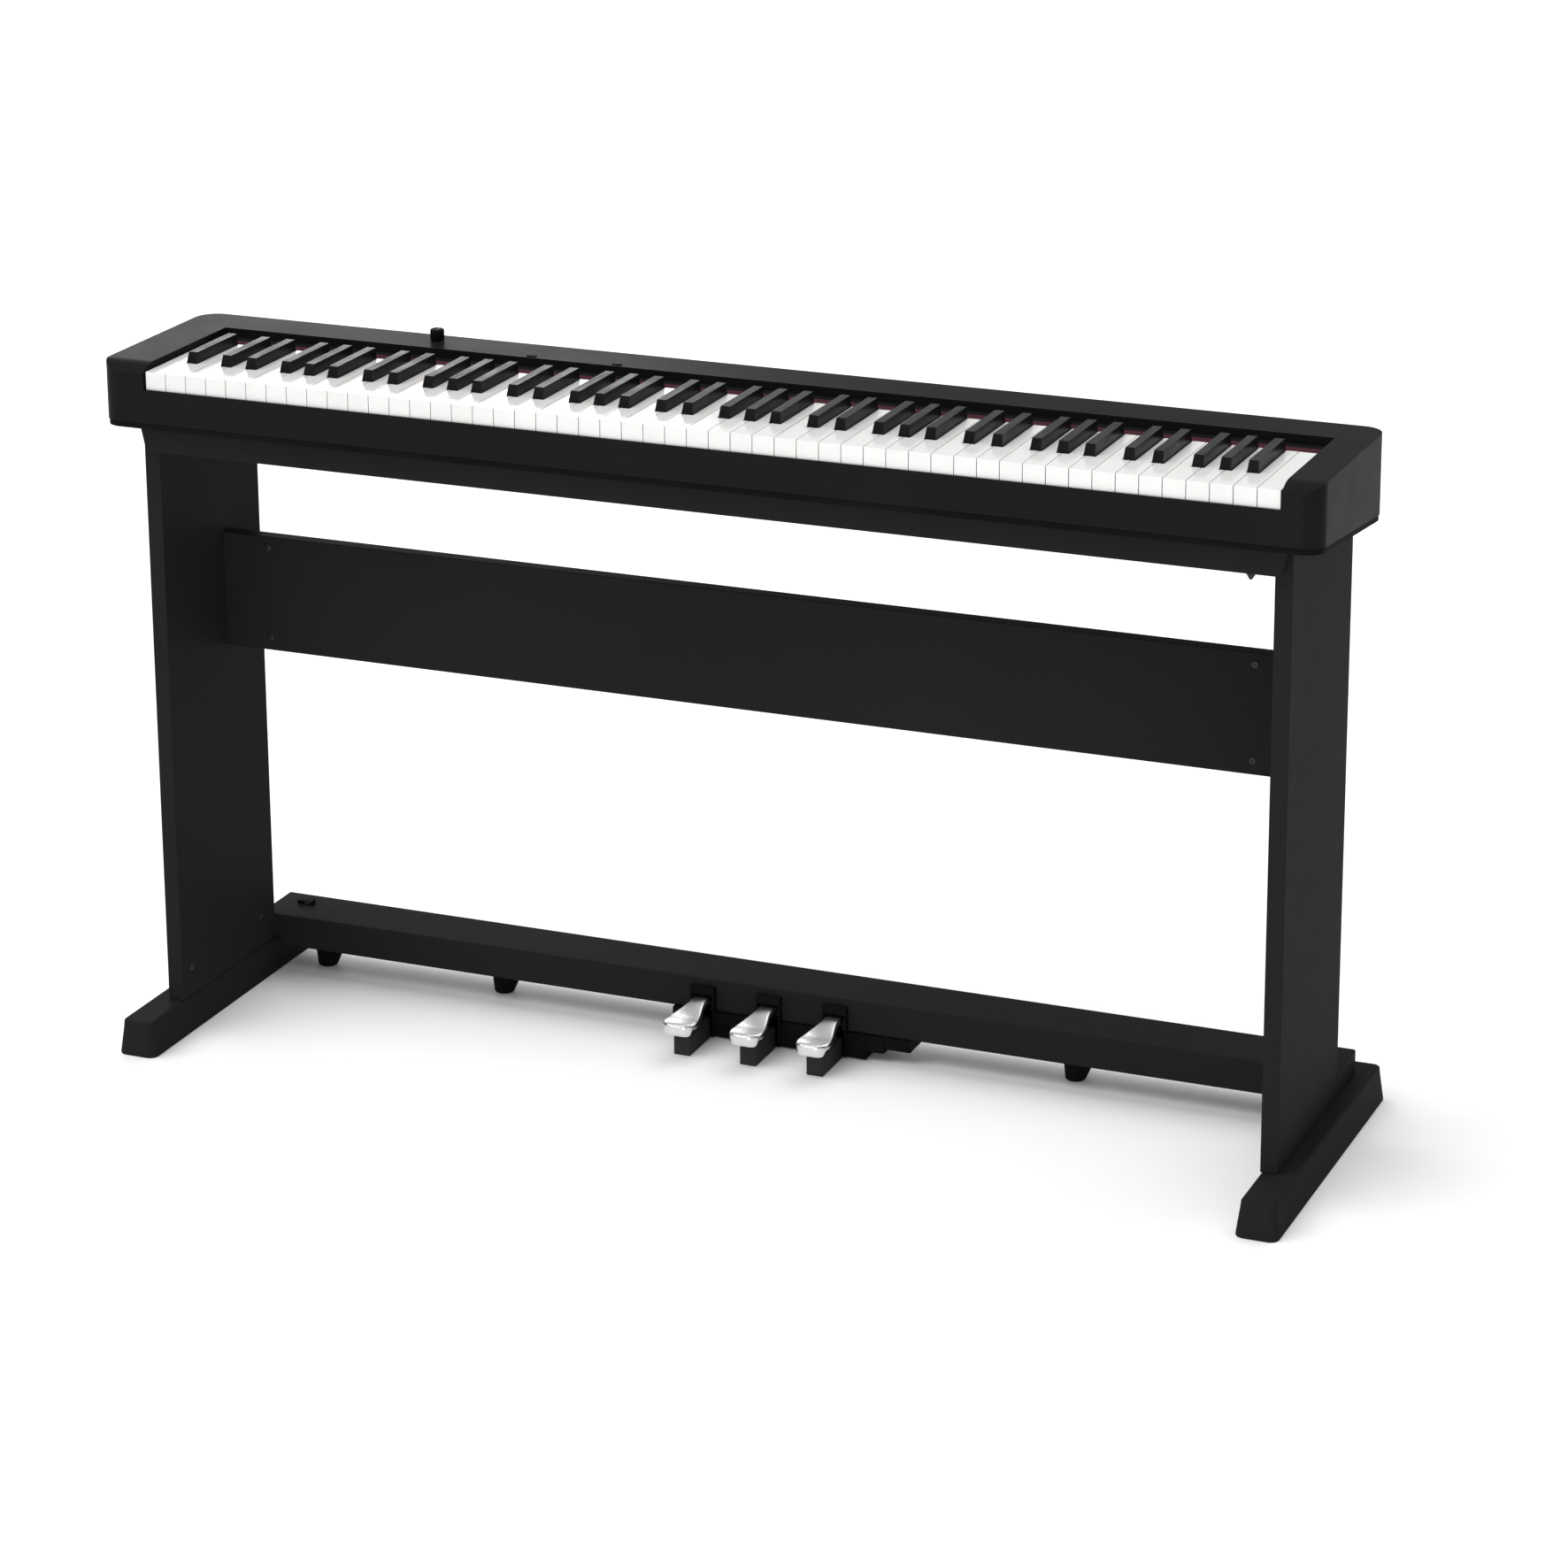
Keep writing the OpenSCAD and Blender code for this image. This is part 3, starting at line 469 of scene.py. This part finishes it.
def fluted_rings(outline, flutes, depth, turns=96):
    """Rings of a turned shape from (radius, z) pairs, with flutes on its widest part."""
    widest = max(radius for radius, _ in outline)
    rings = []
    for radius, z in outline:
        cut = depth if radius > widest * 0.9 else 0.0
        ring = []
        for i in range(turns):
            turn = tau * i / turns
            reach = radius - cut * (0.5 + 0.5 * cos(turn * flutes))
            ring.append((reach * cos(turn), reach * sin(turn), z))
        rings.append(ring)
    return rings


def shifted(rings, x, y):
    return [[(px + x, py + y, pz) for px, py, pz in ring] for ring in rings]


knob_stem, knob_skirt = 3, CASE_TOP + 0.4
knob_outline = [(knob_stem, CASE_TOP - 7.9), (knob_stem, knob_skirt),
                (KNOB_R - 0.4, knob_skirt), (KNOB_R, knob_skirt + 0.5), (KNOB_R, KNOB_TOP - 2.2)]
knob_outline += [(KNOB_R - inset, KNOB_TOP - below) for inset, below in
                 ((0.25, 1.1), (0.9, 0.3), (1.6, 0.0), (2.4, 0.1), (2.8, 0.4))]
knob_outline += [(0.4, KNOB_TOP - 0.5)]
knob_rings = fluted_rings(knob_outline, flutes=24, depth=0.45)
finished("volume_knob_fluted",
         skinned("volume_knob_fluted", shifted(knob_rings, KNOB_X, KNOB_Y)),
         "knob", "volume_knob", ["volume_knob"])
pointer = [[(KNOB_X + px, KNOB_Y + 3.1 + py, z) for px, py in round_box(0.45, 1.5, 0.3, 3)]
           for z in (KNOB_TOP - 0.5, KNOB_TOP - 0.2)]
finished("volume_knob_pointer", skinned("volume_knob_pointer", pointer), "print", "volume_knob")
for node in ("power_button", "function_button"):
    refine(node, "knob", 0.4 * MM, 2, node, "black_plastic")


# ---- keys ---------------------------------------------------------------------------------

def key_edge(middle):
    """Softer edges on the playing surfaces than on the tails."""
    return 1.0 if middle.y < 0.002 else 0.5


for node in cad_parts:
    if node.startswith("black_keys") or "sharp" in node:
        refine(node, "black_key", 1.2 * MM, 3, node, corner=25, share=key_edge)
    elif node.startswith("white_keys") or (node.startswith("key_") and node[-1] == "4"):
        refine(node, "white_key", 0.7 * MM, 3, node, share=key_edge)


# ---- stand --------------------------------------------------------------------------------

for node in ("side_panel_left", "side_panel_right", "back_panel", "front_rail"):
    refine(node, "board", 1.1 * MM, 3)
refine("cross_beam", "board", 2.2 * MM, 4)
for node in ("bracket_left", "bracket_right", "rail_hook"):
    refine(node, "black_metal", 0.3 * MM, 2)
refine("cable_clip", "moulded_black", 0.5 * MM, 2, slot="black_plastic")
refine("beam_glides", "moulded_black", 1.6 * MM, 3, slot="black_plastic")


def foot_rings(x):
    """A drafted foot with round corners and a round ridge along its top."""
    ridge, draft, sole = 3.2, 5.0, 2.0
    side_corner, top_corner = 10, 9
    ridge_steps = 6
    levels = [(0, 0.9, side_corner), (0.4, 0.3, side_corner), (sole, 0, side_corner)]
    levels += [(z, draft * (z - sole) / (FOOT_HEIGHT - sole), side_corner) for z in (12, 22, 30)]
    side = draft * (FOOT_HEIGHT - ridge - sole) / (FOOT_HEIGHT - sole)
    for i in range(ridge_steps + 1):
        turn = i / ridge_steps * pi / 2
        z = FOOT_HEIGHT - ridge + ridge * sin(turn)
        levels.append((z, side + ridge * (1 - cos(turn)), top_corner))
    middle = FRONT - FOOT_REACH + FOOT_LENGTH / 2
    return [[(x + px, middle + py, z) for px, py in
             round_box(FOOT_WIDTH / 2 - inset, FOOT_LENGTH / 2 - inset, radius - inset * 0.6, 8)]
            for z, inset, radius in levels]


for node, x in (("foot_left", -FOOT_X), ("foot_right", FOOT_X)):
    finished(node + "_moulded", skinned(node + "_moulded", foot_rings(x)), "board",
             stands_for=[node])


# ---- screws -------------------------------------------------------------------------------

def screw_head():
    """A low domed head with a cross recess, its underside at z = 0, 4 mm in radius."""
    sides, top, floor = 24, 1.2, 0.3

    def star(turn, share, z):
        reach = share * (0.55 + 1.2 * max(abs(cos(turn)), abs(sin(turn))) ** 6)
        return reach * cos(turn), reach * sin(turn), z

    bm = bmesh.new()
    loops = [ring_of(bm, sides, lambda turn: (radius * cos(turn), radius * sin(turn), z))
             for radius, z in ((4.0, 0.0), (4.0, 0.35), (3.7, 0.75), (3.0, 1.05), (2.1, top))]
    loops.append(ring_of(bm, sides, lambda turn: star(turn, 1.0, top)))
    loops.append(ring_of(bm, sides, lambda turn: star(turn, 0.7, floor)))
    for lower, upper in zip(loops, loops[1:]):
        band(bm, lower, upper)
    bm.faces.new(loops[-1])
    bm.faces.new(list(reversed(loops[0])))
    return mesh_of(bm, "screw_head")


def set_out(name, template, places, material, size=1.0):
    """One mesh of a template repeated at (place, aim) pairs by a node tree."""
    source = bpy.data.objects.new(name + "_template", template)
    bpy.context.scene.collection.objects.link(source)
    mesh = bpy.data.meshes.new(name + "_places")
    mesh.from_pydata([Vector(place) * MM for place, _ in places], [], [])
    aims = mesh.attributes.new("aim", "FLOAT_VECTOR", "POINT")
    for item, (_, aim) in zip(aims.data, places):
        item.vector = aim
    tree = bpy.data.node_groups.new(name, "GeometryNodeTree")
    face = tree.interface
    face.new_socket("Places", in_out="INPUT", socket_type="NodeSocketGeometry")
    size_in = face.new_socket("Size", in_out="INPUT", socket_type="NodeSocketFloat")
    part_in = face.new_socket("Part", in_out="INPUT", socket_type="NodeSocketObject")
    face.new_socket("Set out", in_out="OUTPUT", socket_type="NodeSocketGeometry")
    add, link = tree.nodes.new, tree.links.new
    start, end = add("NodeGroupInput"), add("NodeGroupOutput")
    part = add("GeometryNodeObjectInfo")
    link(start.outputs["Part"], part.inputs["Object"])
    aim = add("GeometryNodeInputNamedAttribute")
    aim.data_type = "FLOAT_VECTOR"
    aim.inputs["Name"].default_value = "aim"
    turn = add("FunctionNodeAlignRotationToVector")
    turn.axis = "Z"
    link(aim.outputs["Attribute"], turn.inputs["Vector"])
    spread = add("GeometryNodeInstanceOnPoints")
    link(start.outputs["Places"], spread.inputs["Points"])
    link(part.outputs["Geometry"], spread.inputs["Instance"])
    link(turn.outputs["Rotation"], spread.inputs["Rotation"])
    link(start.outputs["Size"], spread.inputs["Scale"])
    real = add("GeometryNodeRealizeInstances")
    link(spread.outputs["Instances"], real.inputs["Geometry"])
    paint = add("GeometryNodeSetMaterial")
    paint.inputs["Material"].default_value = MATERIAL[material]
    link(real.outputs["Geometry"], paint.inputs["Geometry"])
    link(paint.outputs["Geometry"], end.inputs["Set out"])
    obj = bpy.data.objects.new(name, mesh)
    bpy.context.scene.collection.objects.link(obj)
    modifier = obj.modifiers.new("set_out", "NODES")
    modifier.node_group = tree
    modifier[size_in.identifier] = size
    modifier[part_in.identifier] = source
    made = as_mesh(obj, name)
    bpy.data.objects.remove(source)
    return made


def screw_sites():
    """Where the stand's screws sit and which way their heads face."""
    back_x, back_y = 554, 3.5           # on the back panel's face
    foot_z = 72                         # into the feet's brackets
    bracket_z, slope = 679.8, 0.0991    # under the case, which rises towards its front
    bracket_t = 2
    for side in (-1, 1):
        inner = side * PANEL_INNER
        for z in (424, 525):
            yield (side * back_x, back_y, z), (0, -1, 0)
        for y in (-102, 56):
            yield (inner, y, foot_z), (-side, 0, 0)
        for y in (-72, 28):
            z = bracket_z - (y - FRONT) * slope
            yield (inner - side * bracket_t, y, z), (-side, 0, 0)


finished("stand_screws_crossed",
         set_out("stand_screws_crossed", screw_head(), list(screw_sites()), "black_metal"),
         None, stands_for=["stand_screws"])


# ---- sockets ------------------------------------------------------------------------------

def collar():
    """A nickel ring round a socket, its axis along z."""
    outline = [(3.3, -1.0), (4.9, -1.0), (4.9, 0.5), (4.6, 0.9), (3.9, 1.0), (3.3, 0.7)]
    bm = bmesh.new()
    loops = [ring_of(bm, 40, lambda turn: (radius * cos(turn), radius * sin(turn), z))
             for radius, z in outline]
    for first, second in zip(loops, loops[1:] + loops[:1]):
        band(bm, first, second)
    return mesh_of(bm, "collar")


socket_places = [((SOCKETS_X + dx, COLLAR_Y, SOCKETS_Z), (0, 1, 0)) for dx in ROUND_SOCKETS]
finished("socket_collars", set_out("socket_collars", collar(), socket_places, "contact", 0.85),
         None)


# ---- pedals -------------------------------------------------------------------------------

refine("pedal_unit", "moulded_black", 0.8 * MM, 3, slot="black_plastic")
refine("pedal_stops", "rubber", 1.2 * MM, 3)
refine("pedal_axle", "steel", 0.3 * MM, 2)


def eased(t):
    """A smooth step from 0 to 1, held at both ends."""
    t = min(max(t, 0.0), 1.0)
    return t * t * (3 - 2 * t)


def rounding(y, reach, radius):
    """How far an edge rounded over its first stretch is drawn in at y."""
    return radius * (1 - sqrt(max(1 - ((reach - y) / reach) ** 2, 0.0))) if y < reach else 0.0


def pedal_section(y):
    """Half width, top and underside of a pedal at a distance behind its tip."""
    tip, stem, round_tip, flare = 19.0, 10.0, 15.0, 66.0
    tip_top, tip_under, rise, rise_start = 42.0, 34.0, 6.0, 22
    lip_end, lip_fade, lip_drop = 9, 4, 6.0
    if y < round_tip:
        half = tip - rounding(y, round_tip, round_tip)
    else:
        half = tip + (stem - tip) * eased((y - round_tip) / (flare - round_tip))
    top = tip_top + rise * eased((y - rise_start) / 50) - rounding(y, 7, 3.5)
    under = tip_under + rise * eased((y - rise_start) / 58) + rounding(y, 4, 3.0)
    if y < lip_end:
        under -= lip_drop * (1 - eased((y - lip_end + lip_fade) / lip_fade))
    return half, top, under


def pedal_rings(x):
    """Rings of a pedal's blade from its tip back to the heel, close together at the lip."""
    end_trim, edge_r, crown = 0.4, 3.2, 0.9
    depths = [0, 0.15, 0.5, 1, 1.7, 2.5, 3.5, 4.5, 5.5, 6.5, 7.5, 8.5, 10, 12, 15]
    depths += [15 + 3 * i for i in range(1, 20)]
    depths += [80, 100, PEDAL_LENGTH - end_trim, PEDAL_LENGTH]
    rings = []
    for y in depths:
        half, top, under = pedal_section(y)
        trim = end_trim if y == PEDAL_LENGTH else 0.0
        half_z = (top - under) / 2 - trim
        rings.append([(x + px, PEDAL_FRONT + y,
                       (top + under) / 2 + pz - crown * (px / half) ** 2 * (pz > 0))
                      for px, pz in round_box(half - trim, half_z, min(edge_r, half_z * 0.98), 7)])
    return rings


def heel(name, x):
    """The block under a pedal's stem with the bore for the axle."""
    half, half_depth, above, below, round_r = 8.5, 8, 20.4, 8, 10.5
    turns = 48

    def outer(turn):
        cy, cz = cos(turn), sin(turn)
        reach = min(half_depth / max(abs(cy), 1e-6),
                    (above if cz > 0 else below) / max(abs(cz), 1e-6))
        reach = min(reach, round_r) if cz < 0.3 else reach
        return side_x, AXLE_Y + reach * cy, AXLE_Z + reach * cz

    def bore(turn):
        return side_x, AXLE_Y + AXLE_R * cos(turn), AXLE_Z + AXLE_R * sin(turn)

    bm = bmesh.new()
    loops = []
    for side_x in (x - half, x + half):
        loops.append((ring_of(bm, turns, outer), ring_of(bm, turns, bore)))
    (outer_a, inner_a), (outer_b, inner_b) = loops
    for first, second in ((outer_a, inner_a), (inner_a, inner_b), (inner_b, outer_b),
                          (outer_b, outer_a)):
        band(bm, first, second)
    return mesh_of(bm, name)


for body, x in PEDALS.items():
    finished(body + "_paddle", skinned(body + "_paddle", pedal_rings(x)), "pedal", body,
             stands_for=[body])
    finished(body + "_heel", heel(body + "_heel", x), "pedal", body)
